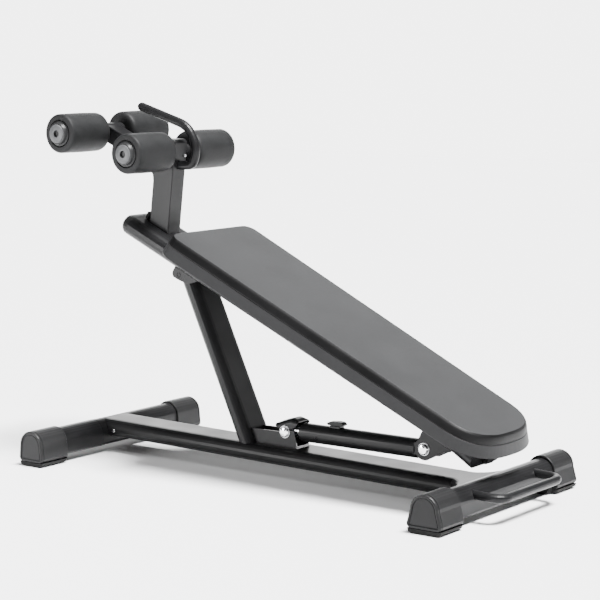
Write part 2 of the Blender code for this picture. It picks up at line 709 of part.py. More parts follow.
def axle_hub(board):
    cx, cz = to_board(REAR_AXLE[0], REAR_AXLE[1])
    y = ROLLER_IN - 0.0008
    ring = [(AXLE_R + GAP, -y), (0.0237, -y), (0.0252, -y + 0.0015), (0.0252, y - 0.0015), (0.0237, y),
            (AXLE_R + GAP, y)]
    turned("rear_axle_hub", ring, frame_paint(), centre=(cx, 0, cz), ring=True, parent=board)


def axles(board):
    end = ROLLER_OUT - 0.0055
    for tag, spot in (("rear", REAR_AXLE), ("front", FRONT_AXLE)):
        cx, cz = to_board(spot[0], spot[1])
        profile = [(0, -end), (AXLE_R - 0.001, -end), (AXLE_R, -end + 0.001), (AXLE_R, end - 0.001),
                   (AXLE_R - 0.001, end), (0, end)]
        turned(f"{tag}_axle", profile, zinc(), centre=(cx, 0, cz), parent=board, segments=32)
    cx, cz = to_board(FRONT_AXLE[0], FRONT_AXLE[1])
    for tag, side in (("near", -1), ("far", 1)):
        y0, y1 = side * (COLUMN_HALF_Y + GAP), side * (ROLLER_IN - 0.0008)
        ring = [(AXLE_R + GAP, y0), (0.0200, y0), (0.0200, y1), (AXLE_R + GAP, y1)]
        turned(f"axle_spacer_{tag}", ring, black_plastic(), centre=(cx, 0, cz), ring=True, parent=board)


def roller(tag, spot, side, board):
    """Foam sleeve and the moulded core with its stepped end plug, both turning on the axle."""
    cx, cz = to_board(spot[0], spot[1])
    a, b = ROLLER_IN, ROLLER_OUT
    profile = [(AXLE_R + GAP, a - 0.0002), (0.0188, a - 0.0002), (0.0188, b - 0.0137),
               (0.0365, b - 0.0137), (0.0365, b + 0.0010), (0.0330, b + 0.0040), (0.0325, b + 0.0110),
               (0.0300, b + 0.0140), (0.0120, b + 0.0140), (0.0110, b + 0.0060), (0, b + 0.0060)]
    bore = [(0, b - 0.0040), (AXLE_R + GAP, b - 0.0040)]
    core = turned(f"core_{tag}", [(r, side * y) for r, y in profile + bore],
                  paint("plug", (0.35, 0.35, 0.36), 0.4), ring=True, parent=board,
                  location=(cx, 0, cz), segments=32)
    foam = [(0.0191, a), (0.0455, a), (0.0520, a + 0.0022), (0.0560, a + 0.0065), (ROLLER_R, a + 0.0125),
            (ROLLER_R, b - 0.0045),
            (0.0561, b - 0.0014), (0.0530, b), (0.0402, b), (0.0390, b - 0.0015), (0.0390, b - 0.0140),
            (0.0191, b - 0.0140)]
    turned(f"foam_{tag}", [(r, side * y) for r, y in foam], paint("foam", (0.05, 0.05, 0.052), 0.7),
           ring=True, parent=core, segments=32)


def rollers(board):
    roller("rear_near", REAR_AXLE, -1, board)
    roller("rear_far", REAR_AXLE, 1, board)
    roller("front_near", FRONT_AXLE, -1, board)
    roller("front_far", FRONT_AXLE, 1, board)


def grab_handle(board):
    """Bent round bar over the rollers, hooked into the front face of the column."""
    corners = [(-0.5790, 1.0360), (-0.4010, 0.9830), (-0.3700, 0.9200), (-0.3840, 0.8700), (-0.4560, 0.8680)]
    radii = [0, 0.045, 0.050, 0.020, 0]
    pts = [corners[0]]
    for i in range(1, len(corners) - 1):
        p, q, r = Vector(corners[i - 1]), Vector(corners[i]), Vector(corners[i + 1])
        a, b = (p - q).normalized(), (r - q).normalized()
        reach = min(radii[i], 0.48 * (p - q).length, 0.48 * (r - q).length)
        start, end = q + a * reach, q + b * reach
        for k in range(7):
            t = k / 6
            pt = start * (1 - t) ** 2 + q * (2 * t * (1 - t)) + end * t ** 2
            pts.append((pt.x, pt.y))
    pts.append(corners[-1])
    path = [(x, 0, z) for x, z in in_board(pts)]
    obj = sweep("grab_handle", path, 0.0130, frame_paint())
    slope = 0.118
    top, low = 0.93, 0.80
    face = [(-0.489 + slope * (z - 0.735) + COLUMN_HALF_X + GAP, z) for z in (low, top)]
    block = in_board([face[0], face[1], (face[1][0] - 0.06, top), (face[0][0] - 0.06, low)])
    cut(obj, [prism("column_face", block, -0.05, 0.05, frame_paint())])
    obj.parent = board


def column_bolt(board):
    """Small bolt in the front face of the column, inside the handle's hook."""
    z = 0.8960
    x = -0.489 + 0.118 * (z - 0.735) + COLUMN_HALF_X + 2 * GAP
    bx, bz = to_board(x, z)
    profile = [(0, 0.0042), (0.0030, 0.0040), (0.0045, 0.0026), (0.0048, 0.0), (0, 0.0)]
    obj = turned("column_bolt", profile, zinc(), axis="X", segments=20, location=(bx, 0.019, bz), parent=board)
    obj.rotation_euler = (0, atan2(0.118, 1.0) - BOARD_ANGLE, 0)
    return obj


# ------------------------------------------------------------------ strut
def strut_inner(tilt):
    """Inner tube with its eye on the lower bolt and a row of lock holes along the top."""
    lower = empty("strut_lower", (PIVOT_B[0], 0, PIVOT_B[1]), (0, -tilt, 0))
    reach = 0.400
    obj = turned("inner_tube", [(0, 0.016), (STRUT_INNER_R - 0.001, 0.016), (STRUT_INNER_R, 0.0175),
                                (STRUT_INNER_R, reach - 0.002), (STRUT_INNER_R - 0.002, reach), (0, reach)],
                 zinc(), axis="X", segments=36)
    holes = []
    for k in range(5):
        holes.append(turned(f"lock_hole_{k}", [(0, 0.0100), (0.0046, 0.0100), (0.0046, 0.03), (0, 0.03)],
                            zinc(), centre=(LOCK_X + k * LOCK_PITCH, 0, 0), axis="Z", segments=12))
    cut(obj, holes)
    outline = arc(0, 0, 0.0165, 35, 325, 24) + [(0.0200, -0.0095), (0.0200, 0.0095)]
    cut(obj, [prism("lower_eye", outline, -0.0240, 0.0240, zinc())], operation="UNION")
    bore = turned("eye_bore", [(0, -0.06), (BOLT_R + GAP, -0.06), (BOLT_R + GAP, 0.06), (0, 0.06)],
                  zinc(), segments=32)
    cut(obj, [bore])
    obj.parent = lower
    return lower


def strut_hood(lower):
    """Arched shroud over the strut's mouth; it swings with the strut about the lower bolt."""
    wide, skin = 0.0300, 0.0026
    inner_r = 0.0193

    def section(x, top, low, inset):
        """Half-round roof over straight sides, seen along the strut."""
        half = wide - inset
        roof = top - inset
        corner = min(0.016, roof - low - 0.0004)
        pts = [(half, low)]
        pts += [(half - corner + corner * cos(radians(a)), roof - corner + corner * sin(radians(a)))
                for a in (0, 15, 30, 45, 60, 75, 90)]
        pts += [(-y, z) for y, z in reversed(pts)]
        return [(x, y, z) for y, z in pts]

    stations = [(-0.0330, 0.0215, 0.0140), (-0.0240, 0.0255, 0.0092), (-0.0080, 0.0320, 0.0082),
                (0.0080, 0.0375, 0.0082), (0.0210, 0.0405, 0.0100), (0.0330, 0.0380, 0.0150),
                (0.0430, 0.0325, 0.0240)]
    rings = [section(x, top, low, 0.0) for x, top, low in stations]
    back = [section(x, top, low, skin) for x, top, low in stations]
    bm = bmesh.new()
    outer_rows = [[bm.verts.new(p) for p in ring] for ring in rings]
    inner_rows = [[bm.verts.new(p) for p in ring] for ring in back]
    count = len(outer_rows[0])
    for rows in (outer_rows, inner_rows):
        for a, b in zip(rows, rows[1:]):
            for i in range(count - 1):
                bm.faces.new((a[i], a[i + 1], b[i + 1], b[i]))
    for end in (0, -1):
        for i in range(count - 1):
            bm.faces.new((outer_rows[end][i], outer_rows[end][i + 1], inner_rows[end][i + 1], inner_rows[end][i]))
    for a, b, c, d in zip(outer_rows, outer_rows[1:], inner_rows, inner_rows[1:]):
        bm.faces.new((a[0], b[0], d[0], c[0]))
        bm.faces.new((a[-1], b[-1], d[-1], c[-1]))
    obj = finish_mesh("strut_hood", bm, frame_paint())
    head = turned("head_clearance", [(0, -0.06), (inner_r, -0.06), (inner_r, 0.06), (0, 0.06)],
                  frame_paint(), segments=48)
    cut(obj, [head])
    obj.parent = lower
    return obj


def strut_outer(lower, length):
    """Outer tube, open at the mouth, with a plain eye at the board end."""
    slide = empty("strut_upper", (length, 0, 0), parent=lower)
    a, b = STRUT_MOUTH - length, -0.036
    r, bore = STRUT_OUTER_R, STRUT_BORE_R
    tube = [(bore, a), (r - 0.001, a), (r, a + 0.001), (r, b - 0.004), (r - 0.004, b), (0, b), (0, b - 0.012),
            (bore, b - 0.012)]
    obj = turned("outer_tube", tube, frame_paint(), axis="X", ring=True, segments=36)
    knob_x = LOCK_X - length
    hole = turned("pin_way", [(0, 0.015), (0.0052, 0.015), (0.0052, 0.035), (0, 0.035)], frame_paint(),
                  centre=(knob_x, 0, 0), axis="Z", segments=20)
    cut(obj, [hole])
    outline = arc(0, EYE_RISE, 0.0225, 140, -140, 24) + [(-0.0400, -0.0145), (-0.0400, 0.0200)]
    cut(obj, [prism("upper_eye", outline, -0.0240, 0.0240, frame_paint())], operation="UNION")
    bore = turned("wide_bore", [(0, -0.06), (EYE_BORE_R, -0.06), (EYE_BORE_R, 0.06), (0, 0.06)],
                  frame_paint(), centre=(0, 0, EYE_RISE), segments=36)
    cut(obj, [bore])
    obj.parent = slide
    return slide


def button_screw(name, slide, x, around):
    """Small button-head screw seated on the outer tube; around is the angle from the top toward -Y."""
    seat = STRUT_OUTER_R + GAP
    profile = [(0, 0.0024), (0.0022, 0.0022), (0.0040, 0.0010), (0.0043, 0.0), (0, 0.0)]
    t = radians(around)
    obj = turned(name, profile, zinc(), axis="Z", segments=20, parent=slide,
                 location=(x, -seat * sin(t), seat * cos(t)))
    obj.rotation_euler = (t, 0, 0)


def pop_pin(slide, length):
    """Housing saddled on the outer tube, and the plunger with its low pull lever."""
    x = LOCK_X - length
    seat = STRUT_OUTER_R + GAP
    arch_r = STRUT_OUTER_R + GAP
    base = [(x - 0.017, 0), (x + 0.017, 0)]
    rings = []
    for px, _ in base:
        under = []
        for k in range(5):
            t = radians(-24 + 48 * k / 4)
            under.append((px, arch_r / cos(radians(6)) * sin(t), arch_r / cos(radians(6)) * cos(t)))
        top_z = seat + 0.0040
        rings.append(under + [(px, 0.0110, top_z - 0.001), (px, 0.0100, top_z),
                              (px, -0.0100, top_z), (px, -0.0110, top_z - 0.001)])
    housing = loft("pop_pin_housing", rings, frame_paint())
    bore = turned("housing_bore", [(0, 0.01), (0.0052, 0.01), (0.0052, 0.05), (0, 0.05)], frame_paint(),
                  centre=(x, 0, 0), axis="Z", segments=20)
    cut(housing, [bore])
    housing.parent = slide
    pin = empty("pop_pin", (x, 0, 0), parent=slide)
    top = seat + 0.0040 + GAP
    tip = STRUT_INNER_R + 0.0006
    profile = [(0, tip), (0.0030, tip), (0.0042, tip + 0.0015), (0.0042, top), (0, top)]
    turned("plunger", profile, zinc(), axis="Z", segments=20, parent=pin)
    low, high = top + GAP, 0.0440
    lever = [(-0.028, low + 0.003), (-0.023, low), (0.023, low), (0.028, low + 0.003), (0.028, high - 0.006),
             (0.022, high - 0.001), (0.008, high), (-0.018, high - 0.002), (-0.028, high - 0.007)]
    prism("pull_lever", lever, -0.0110, 0.0110, black_plastic(), bevel=0.0025, parent=pin)


# ------------------------------------------------------------------ assembly
def build():
    clear_scene()
    crossbars()
    feet()
    main_beam()
    beam_bolt()
    lifting_handle()
    support_post()
    hinge_barrel()
    clevis_bracket()
    bx, bz = PIVOT_B
    through_bolt("lower_bolt", (bx, 0, bz), 0.0318)
    washer("lower_washer", (bx, 0, bz), -0.0317, -0.0302, 0.0180)

    board = empty("board_hinge", (HINGE_X, 0, HINGE_Z), (0, BOARD_ANGLE, 0))
    spine(board)
    pad_mounts(board)
    pads(board)
    hinge_cheeks(board)
    hinge_pin(board)
    pivot_lugs(board)
    cx, cz = PIVOT_C_BOARD
    through_bolt("upper_bolt", (cx, 0, cz), 0.0378, parent=board)
    washer("upper_washer", (cx, 0, cz), -0.0377, -0.0362, 0.0180, parent=board)
    roller_column(board)
    column_block(board)
    axle_hub(board)
    axles(board)
    rollers(board)
    grab_handle(board)
    column_bolt(board)

    wx, wz = board_point(cx, cz)
    span = hypot(wx - bx, wz - bz)
    length = sqrt(span ** 2 - EYE_RISE ** 2)
    tilt = atan2(wz - bz, wx - bx) - atan2(EYE_RISE, length)
    lower = strut_inner(tilt)
    strut_hood(lower)
    slide = strut_outer(lower, length)
    button_screw("tube_screw_a", slide, 0.058 - length, 10)
    button_screw("tube_screw_b", slide, 0.106 - length, 104)
    pop_pin(slide, length)


build()
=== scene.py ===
"""Decline sit up bench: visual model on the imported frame, in a plain pale studio."""
from math import cos, pi, radians, sin

import bmesh
import bpy
from mathutils import Matrix, Vector


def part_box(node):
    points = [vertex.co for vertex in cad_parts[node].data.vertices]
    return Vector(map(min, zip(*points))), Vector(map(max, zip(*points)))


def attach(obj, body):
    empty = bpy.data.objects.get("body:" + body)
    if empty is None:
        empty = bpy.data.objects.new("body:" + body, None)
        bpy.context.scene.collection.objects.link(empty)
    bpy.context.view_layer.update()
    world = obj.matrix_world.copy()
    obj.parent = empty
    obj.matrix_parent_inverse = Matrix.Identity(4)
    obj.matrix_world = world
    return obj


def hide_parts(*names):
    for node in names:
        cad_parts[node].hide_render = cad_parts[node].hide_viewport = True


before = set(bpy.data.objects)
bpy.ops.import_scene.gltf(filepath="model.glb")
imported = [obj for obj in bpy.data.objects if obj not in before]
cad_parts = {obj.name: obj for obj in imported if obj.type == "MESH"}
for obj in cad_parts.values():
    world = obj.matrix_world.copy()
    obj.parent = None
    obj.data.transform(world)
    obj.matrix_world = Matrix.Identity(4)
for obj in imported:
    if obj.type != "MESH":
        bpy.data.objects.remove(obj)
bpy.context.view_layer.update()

# ---- the board's own frame: x down the board from its hinge, z square to it ----
HINGE = Vector((-0.3885, 0.0, 0.5555))
BOARD_ANGLE = radians(25.16)
BOARD = Matrix.Translation(HINGE) @ Matrix.Rotation(BOARD_ANGLE, 4, "Y")

# ---- cushion, in the board's frame ----
PAD_START = 0.0015                # head end
PAD_TOP, PAD_SPLIT, PAD_BOTTOM = 0.1470, 0.1232, 0.0925
PAD_HALF_HEAD, PAD_HALF_FOOT = 0.182, 0.157
PAD_SPLAY = 0.0275                # how far the sides flare out from the top to the bottom
PAD_CORNER = 0.034
NOSE_CENTRE, NOSE_LENGTH, NOSE_POWER = 1.0, 0.122, 2.7
RIM_Z, RIM_INSET = 0.1469, 0.0044  # where the domed top panel begins
CROWN = 0.0012                    # rise of the top panel over its rim
PANEL_RUN = 0.150                 # how far the panel's rows go in from the rim
PLAIN_INSET = 0.020               # rows closer than this to the edge follow the outline
RIDGE_START, RIDGE_END = 0.166, 0.955
RIDGE_REACH = 0.166               # distance in from the rim at which a row would meet the ridge

# ---- leg rollers ----
ROWS = {"rear": (-0.711, 0.961), "front": (-0.454, 0.910)}   # axle x and z
SIDES = {"near": -1, "far": 1}
BORE_R = 0.0103                   # plug's bore, round the axle
CORE_R = 0.0188                   # plug's tube, inside the foam
PLUG_R = 0.0365                   # plug's hidden disc
FOAM_BORE_R = 0.0193
FOAM_R = 0.0567                   # at the shoulders
FOAM_CROWN = 0.0010               # extra radius half way along
SHOULDER_IN, SHOULDER_OUT = 0.0126, 0.0090

# ---- studio ----
GLOSS = 0.16                      # specular level of coat, plastic and vinyl
FOAM_GLOSS = 0.10
FLOOR_TONE = (0.74, 0.74, 0.745)
GLOW_WAY = (-0.592, 0.796, 0.12)  # middle of the bright part of the background
GLOW_EDGE, GLOW_FULL = 0.90, 0.975
FILL_FRONT, FILL_BACK = 0.20, 5.0
SUN_FROM, SUN_POWER = (0.34, 0.03, 0.94), 22.0
CAMERA_PLACE = (3.222, -4.3245, 1.2133)
CAMERA_AZIMUTH, CAMERA_ELEVATION = radians(36.673), radians(7.467)
CAMERA_LENS = 116.26


# ------------------------------------------------------------------ shader helpers
def material(name, build, rough=0.5, metal=0.0):
    """Principled material whose nodes build(tree, shader) links up."""
    mat = bpy.data.materials.new(name)
    mat.use_nodes = True
    tree = mat.node_tree
    shader = tree.nodes["Principled BSDF"]
    shader.inputs["Roughness"].default_value = rough
    shader.inputs["Metallic"].default_value = metal
    build(tree, shader)
    return mat


def position(tree, stretch=(1.0, 1.0, 1.0)):
    where = tree.nodes.new("ShaderNodeTexCoord")
    scale = tree.nodes.new("ShaderNodeMapping")
    scale.inputs["Scale"].default_value = stretch
    tree.links.new(where.outputs["Object"], scale.inputs["Vector"])
    return scale.outputs["Vector"]


def noise(tree, where, scale, detail=3.0):
    node = tree.nodes.new("ShaderNodeTexNoise")
    node.inputs["Scale"].default_value = scale
    node.inputs["Detail"].default_value = detail
    node.inputs["Roughness"].default_value = 0.55
    tree.links.new(where, node.inputs["Vector"])
    return node.outputs["Fac"]


def cells(tree, where, scale, scatter=1.0):
    """Distance to the middle of each Voronoi cell; scatter 0 gives a square grid."""
    node = tree.nodes.new("ShaderNodeTexVoronoi")
    node.inputs["Scale"].default_value = scale
    node.inputs["Randomness"].default_value = scatter
    tree.links.new(where, node.inputs["Vector"])
    return node.outputs["Distance"]


def spread(tree, value, low, high, out_low, out_high):
    node = tree.nodes.new("ShaderNodeMapRange")
    for key, number in (("From Min", low), ("From Max", high), ("To Min", out_low), ("To Max", out_high)):
        node.inputs[key].default_value = number
    tree.links.new(value, node.inputs["Value"])
    return node.outputs["Result"]


def mix(tree, factor, dark, light):
    node = tree.nodes.new("ShaderNodeMix")
    node.data_type = "RGBA"
    node.inputs[6].default_value = (*dark, 1.0)
    node.inputs[7].default_value = (*light, 1.0)
    tree.links.new(factor, node.inputs[0])
    return node.outputs[2]


def bump(tree, shader, height, distance, strength, after=None):
    node = tree.nodes.new("ShaderNodeBump")
    node.inputs["Strength"].default_value = strength
    node.inputs["Distance"].default_value = distance
    tree.links.new(height, node.inputs["Height"])
    if after is not None:
        tree.links.new(after.outputs["Normal"], node.inputs["Normal"])
    tree.links.new(node.outputs["Normal"], shader.inputs["Normal"])
    return node


# ------------------------------------------------------------------ materials
def powder_coat(name, dark, light, rough):
    """Satin coat: slow tone drift, fine orange peel and flecks."""
    def build(tree, shader):
        where = position(tree)
        cloud = noise(tree, where, 9.0, 4.0)
        fleck = noise(tree, where, 1500.0, 1.0)
        tone = mix(tree, spread(tree, cloud, 0.3, 0.7, 0.0, 1.0), dark, light)
        tree.links.new(tone, shader.inputs["Base Color"])
        patchy = spread(tree, cloud, 0.2, 0.8, rough - 0.05, rough + 0.07)
        tree.links.new(patchy, shader.inputs["Roughness"])
        orange = bump(tree, shader, noise(tree, where, 420.0, 2.0), 0.00006, 0.7)
        bump(tree, shader, fleck, 0.00002, 0.5, after=orange)
        shader.inputs["Specular IOR Level"].default_value = GLOSS
    return material(name, build)


def moulded(name, dark, light, rough, grain=900.0, depth=0.00005):
    """Moulded plastic or rubber with a fine even grain."""
    def build(tree, shader):
        where = position(tree)
        cloud = noise(tree, where, 14.0)
        tree.links.new(mix(tree, cloud, dark, light), shader.inputs["Base Color"])
        fine = noise(tree, where, grain, 2.0)
        patchy = spread(tree, fine, 0.3, 0.7, rough - 0.06, rough + 0.08)
        tree.links.new(patchy, shader.inputs["Roughness"])
        bump(tree, shader, fine, depth, 0.8)
        shader.inputs["Specular IOR Level"].default_value = GLOSS
    return material(name, build)


def plated(name, tone, rough, stretch):
    """Plated metal with faint streaks; stretch packs them closer along one axis."""
    def build(tree, shader):
        where = position(tree, stretch)
        lines = noise(tree, where, 160.0)
        dark = tuple(c * 0.82 for c in tone)
        tree.links.new(mix(tree, lines, dark, tone), shader.inputs["Base Color"])
        patchy = spread(tree, lines, 0.3, 0.7, rough * 0.7, rough * 1.4)
        tree.links.new(patchy, shader.inputs["Roughness"])
        bump(tree, shader, lines, 0.00003, 0.4)
    return material(name, build, rough, 1.0)


def vinyl(name, dark, light, rough, pitch=0.0042):
    """Fine-grained vinyl with rows of pin-prick perforations, one every pitch."""
    def build(tree, shader):
        where = position(tree)
        cloud = noise(tree, where, 7.0)
        base = mix(tree, spread(tree, cloud, 0.3, 0.7, 0.0, 1.0), dark, light)
        from_hole = cells(tree, where, 1.0 / pitch, 0.0)
        prick = spread(tree, from_hole, 0.10, 0.19, 1.0, 0.0)
        shade = tree.nodes.new("ShaderNodeMix")
        shade.data_type = "RGBA"
        shade.inputs[7].default_value = (*[c * 0.62 for c in dark], 1.0)
        tree.links.new(prick, shade.inputs[0])
        tree.links.new(base, shade.inputs[6])
        tree.links.new(shade.outputs[2], shader.inputs["Base Color"])
        grain = bump(tree, shader, cells(tree, where, 620.0), 0.00010, 0.55)
        dent = spread(tree, from_hole, 0.08, 0.2, 0.0, 1.0)
        bump(tree, shader, dent, 0.00025, 0.6, after=grain)
        patchy = spread(tree, cloud, 0.2, 0.8, rough - 0.04, rough + 0.06)
        tree.links.new(patchy, shader.inputs["Roughness"])
        shader.inputs["Specular IOR Level"].default_value = GLOSS
    return material(name, build)


def foam_skin(name, dark, light, rough):
    """Closed-cell foam: faint mottling and fine pores."""
    def build(tree, shader):
        where = position(tree)
        mottle = noise(tree, where, 34.0, 5.0)
        tone = mix(tree, spread(tree, mottle, 0.32, 0.68, 0.0, 1.0), dark, light)
        tree.links.new(tone, shader.inputs["Base Color"])
        fine = bump(tree, shader, cells(tree, where, 780.0), 0.00016, 0.6)
        bump(tree, shader, mottle, 0.0006, 0.25, after=fine)
        patchy = spread(tree, mottle, 0.2, 0.8, rough - 0.05, rough + 0.08)
        tree.links.new(patchy, shader.inputs["Roughness"])
        shader.inputs["Specular IOR Level"].default_value = FOAM_GLOSS
    return material(name, build)


def floor_paper(name, tone):
    """Matt backdrop paper."""
    def build(tree, shader):
        cloud = noise(tree, position(tree), 2.0, 2.0)
        dark = tuple(c * 0.985 for c in tone)
        tree.links.new(mix(tree, cloud, dark, tone), shader.inputs["Base Color"])
        shader.inputs["Specular IOR Level"].default_value = 0.2
    return material(name, build, 0.9)


COAT = powder_coat("frame_coat", (0.0058, 0.0058, 0.0062), (0.0080, 0.0080, 0.0084), 0.34)
# front bar and handle: the frame coat made darker, as painted shade
SHADED_BAR_COAT = powder_coat("front_bar_coat_painted_shade", (0.0052, 0.0052, 0.0055), (0.0072, 0.0072, 0.0076), 0.30)
# hinge bracket, pins, screws, pop-pin housing, rear bar sleeve and collar: the frame coat made darker, as
# painted shade
SHADE_PAINTED_COAT = powder_coat("coat_painted_shade", (0.0045, 0.0045, 0.0048), (0.0065, 0.0065, 0.0070), 0.30)
PLASTIC = moulded("cap_plastic", (0.0070, 0.0070, 0.0073), (0.0095, 0.0095, 0.0098), 0.42)
COVER = moulded("back_cover_vinyl", (0.0125, 0.0125, 0.0130), (0.0165, 0.0165, 0.0170), 0.45, 700.0, 0.00010)
RUBBER = moulded("rubber", (0.0040, 0.0040, 0.0040), (0.0060, 0.0060, 0.0060), 0.72, 500.0, 0.00012)
PLUG = moulded("plug_plastic", (0.062, 0.063, 0.065), (0.082, 0.084, 0.087), 0.32, 1200.0, 0.00003)
# darker copy of the plug plastic: painted shade on the boss and in the socket
SHADE_PAINTED_PLUG = moulded("plug_plastic_painted_shade", (0.0120, 0.0122, 0.0125), (0.0160, 0.0162, 0.0166), 0.36,
                    1200.0, 0.00003)
CHROME = plated("chrome", (0.86, 0.86, 0.87), 0.10, (1.0, 1.0, 1.0))
ZINC = plated("zinc_plate", (0.42, 0.42, 0.43), 0.30, (1.0, 6.0, 1.0))
TOP_VINYL = vinyl("top_vinyl", (0.0180, 0.0182, 0.0188), (0.0215, 0.0218, 0.0225), 0.50)
# side band: dark plain vinyl, darkened further as painted shade
SIDE_VINYL_AND_SHADE = vinyl("side_vinyl_and_painted_shade", (0.0018, 0.0018, 0.0019), (0.0026, 0.0026, 0.0028), 0.42, pitch=0.5)
FOAM = foam_skin("foam_skin", (0.0095, 0.0097, 0.0100), (0.0130, 0.0132, 0.0136), 0.52)


def dress():
    """Give every CAD node its finish: frame coat unless it is listed here."""
    corners = [f"{row}_{tag}" for row in ROWS for tag in SIDES]
    listed = (
        # darker coat on the hinge bracket, pin parts and rear bar collar and sleeve: painted shade
        (SHADE_PAINTED_COAT, ["rear_bar_sleeve", "rear_bar_collar", "pop_pin_housing", "tube_screw_a", "tube_screw_b",
                     "hinge_pin"] + [f"hinge_cheek_{tag}" for tag in SIDES]),
        (PLASTIC, ["spine_cap_head", "pull_lever"] + [f"foot_cap_{corner}" for corner in corners]
         + [f"axle_spacer_{tag}" for tag in SIDES]),
        (RUBBER, ["bumper", "column_block"] + [f"rubber_foot_{corner}" for corner in corners]),
        (CHROME, ["upper_bolt", "lower_bolt", "beam_bolt"]),
        (ZINC, ["lower_washer", "upper_washer", "inner_tube", "plunger", "column_bolt", "rear_axle",
                "front_axle"]),
        # front bar and handle take the darker coat: painted shade
        (SHADED_BAR_COAT, ["front_crossbar", "lifting_handle"]),
        (COVER, ["back_cover"]),
    )
    finishes = {node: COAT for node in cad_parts}
    for finish, nodes in listed:
        for node in nodes:
            finishes[node] = finish
    for node, finish in finishes.items():
        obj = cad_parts[node]
        if not obj.material_slots:
            obj.data.materials.append(finish)
        for place in obj.material_slots:
            place.material = finish


def smooth_object(name, bm, mats):
    """Weld a bmesh, face it outward and link it as a smooth-shaded object with the materials."""
    bmesh.ops.remove_doubles(bm, verts=bm.verts, dist=0.00001)
    bmesh.ops.recalc_face_normals(bm, faces=bm.faces)
    mesh = bpy.data.meshes.new(name)
    bm.to_mesh(mesh)
    bm.free()
    obj = bpy.data.objects.new(name, mesh)
    bpy.context.collection.objects.link(obj)
    for mat in mats:
        mesh.materials.append(mat)
    mesh.shade_smooth()
    return obj


# ------------------------------------------------------------------ cushion
def outline(inset):
    """Cushion outline as (along, across): square head with round corners, tapered, round nose."""
    head = PAD_START + (inset if inset > 0 else inset * 0.4)
    half_head = PAD_HALF_HEAD - inset
    half_foot = PAD_HALF_FOOT - inset
    corner = PAD_CORNER - min(inset, PAD_CORNER - 0.003)
    side = []
    corner_steps = 8
    for k in range(corner_steps, -1, -1):
        t = pi / 2 * k / corner_steps
        side.append((head + corner - corner * sin(t), half_head - corner + corner * cos(t)))
    side_steps = 34
    start = side[-1]
    for k in range(1, side_steps):
        t = k / side_steps
        side.append((start[0] + (NOSE_CENTRE - start[0]) * t, start[1] + (half_foot - start[1]) * t))
    nose_steps = 26
    for k in range(nose_steps + 1):
        t = pi / 2 * (1 - k / nose_steps)
        reach = (NOSE_LENGTH - inset) * cos(t) ** (2 / NOSE_POWER)
        side.append((NOSE_CENTRE + reach, half_foot * sin(t) ** (2 / NOSE_POWER)))
    return side + [(x, -y) for x, y in reversed(side[:-1])]


def splay(z):
    """Inset of the flared side at height z; it is negative below the top."""
    return -PAD_SPLAY * (PAD_TOP - z) / (PAD_TOP - PAD_BOTTOM)


def wall_levels():
    """(height, inset) up the side: tucked lower edge, slightly full wall, rolled top edge."""
    edge = splay(PAD_SPLIT)
    levels = [(PAD_SPLIT + 0.0002, edge + 0.0018), (PAD_SPLIT + 0.0008, edge + 0.0006)]
    for z, bulge in ((PAD_SPLIT + 0.0022, 0.0), (0.1300, 0.0006), (0.1360, 0.0007), (0.1410, 0.0003),
                     (0.1436, -0.0004)):
        levels.append((z, splay(z) - bulge))
    return levels + [(0.1450, 0.0006), (0.1461, 0.0014), (0.1467, 0.0026), (RIM_Z, RIM_INSET)]


def panel_levels():
    """(height, inset) of the domed top panel's rows."""
    steps = 14
    levels = []
    for k in range(1, steps + 1):
        t = k / steps
        levels.append((RIM_Z + CROWN * (1 - (1 - t) ** 2), RIM_INSET + PANEL_RUN * t ** 1.25))
    return levels


def pad_row(inset):
    """Outline near the edge; farther in, the rim drawn toward the ridge down the middle."""
    if inset <= PLAIN_INSET:
        return outline(inset)
    share = (inset - RIM_INSET) / RIDGE_REACH
    row = []
    for x, y in outline(RIM_INSET):
        ridge = min(max(x, RIDGE_START), RIDGE_END)
        row.append((x + (ridge - x) * share, y * (1 - share)))
    return row


def cushion():
    """Crowned pad: dark side wall below a rolled edge, softly domed top panel; the side wall's dark colour
    is partly its own vinyl and partly painted shade.
    """
    wall = wall_levels()
    bm = bmesh.new()
    rows = []
    for z, inset in wall + panel_levels():
        rows.append([bm.verts.new(BOARD @ Vector((x, y, z))) for x, y in pad_row(inset)])
    count = len(rows[0])
    side_rows = len(wall) - 2
    for r, (a, b) in enumerate(zip(rows, rows[1:])):
        for i in range(count):
            j = (i + 1) % count
            bm.faces.new((a[i], a[j], b[j], b[i])).material_index = 1 if r < side_rows else 0
    last = rows[-1]
    for i in range(count // 2):
        quad = [last[i], last[i + 1], last[count - 2 - i], last[count - 1 - i]]
        if len(set(quad)) == 4:
            bm.faces.new(quad)
    bm.faces.new(rows[0]).material_index = 1
    obj = smooth_object("board_cushion", bm, [TOP_VINYL, SIDE_VINYL_AND_SHADE])
    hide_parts("cushion")
    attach(obj, "board")


# ------------------------------------------------------------------ leg rollers
def turned(name, profile, axle, side, start, mats, pick):
    """Closed (radius, along) profile turned about an axle along Y; pick gives each band's material."""
    ax, az = axle
    turns = 72
    bm = bmesh.new()
    rings = []
    for k in range(turns):
        t = 2 * pi * k / turns
        rings.append([bm.verts.new((ax + r * cos(t), side * (start + a), az + r * sin(t)))
                      for r, a in profile])
    count = len(profile)
    for k in range(turns):
        a, b = rings[k], rings[(k + 1) % turns]
        for i in range(count):
            j = (i + 1) % count
            if profile[i][0] > 0 or profile[j][0] > 0:
                bm.faces.new((a[i], a[j], b[j], b[i])).material_index = pick(i)
    obj = smooth_object(name, bm, mats)
    obj.data.set_sharp_from_angle(angle=radians(38))
    return obj


def span(node, side):
    """A node's inner end and its length, measured outward along Y."""
    low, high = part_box(node)
    inner, outer = (low.y, high.y) if side > 0 else (-high.y, -low.y)
    return inner, outer - inner


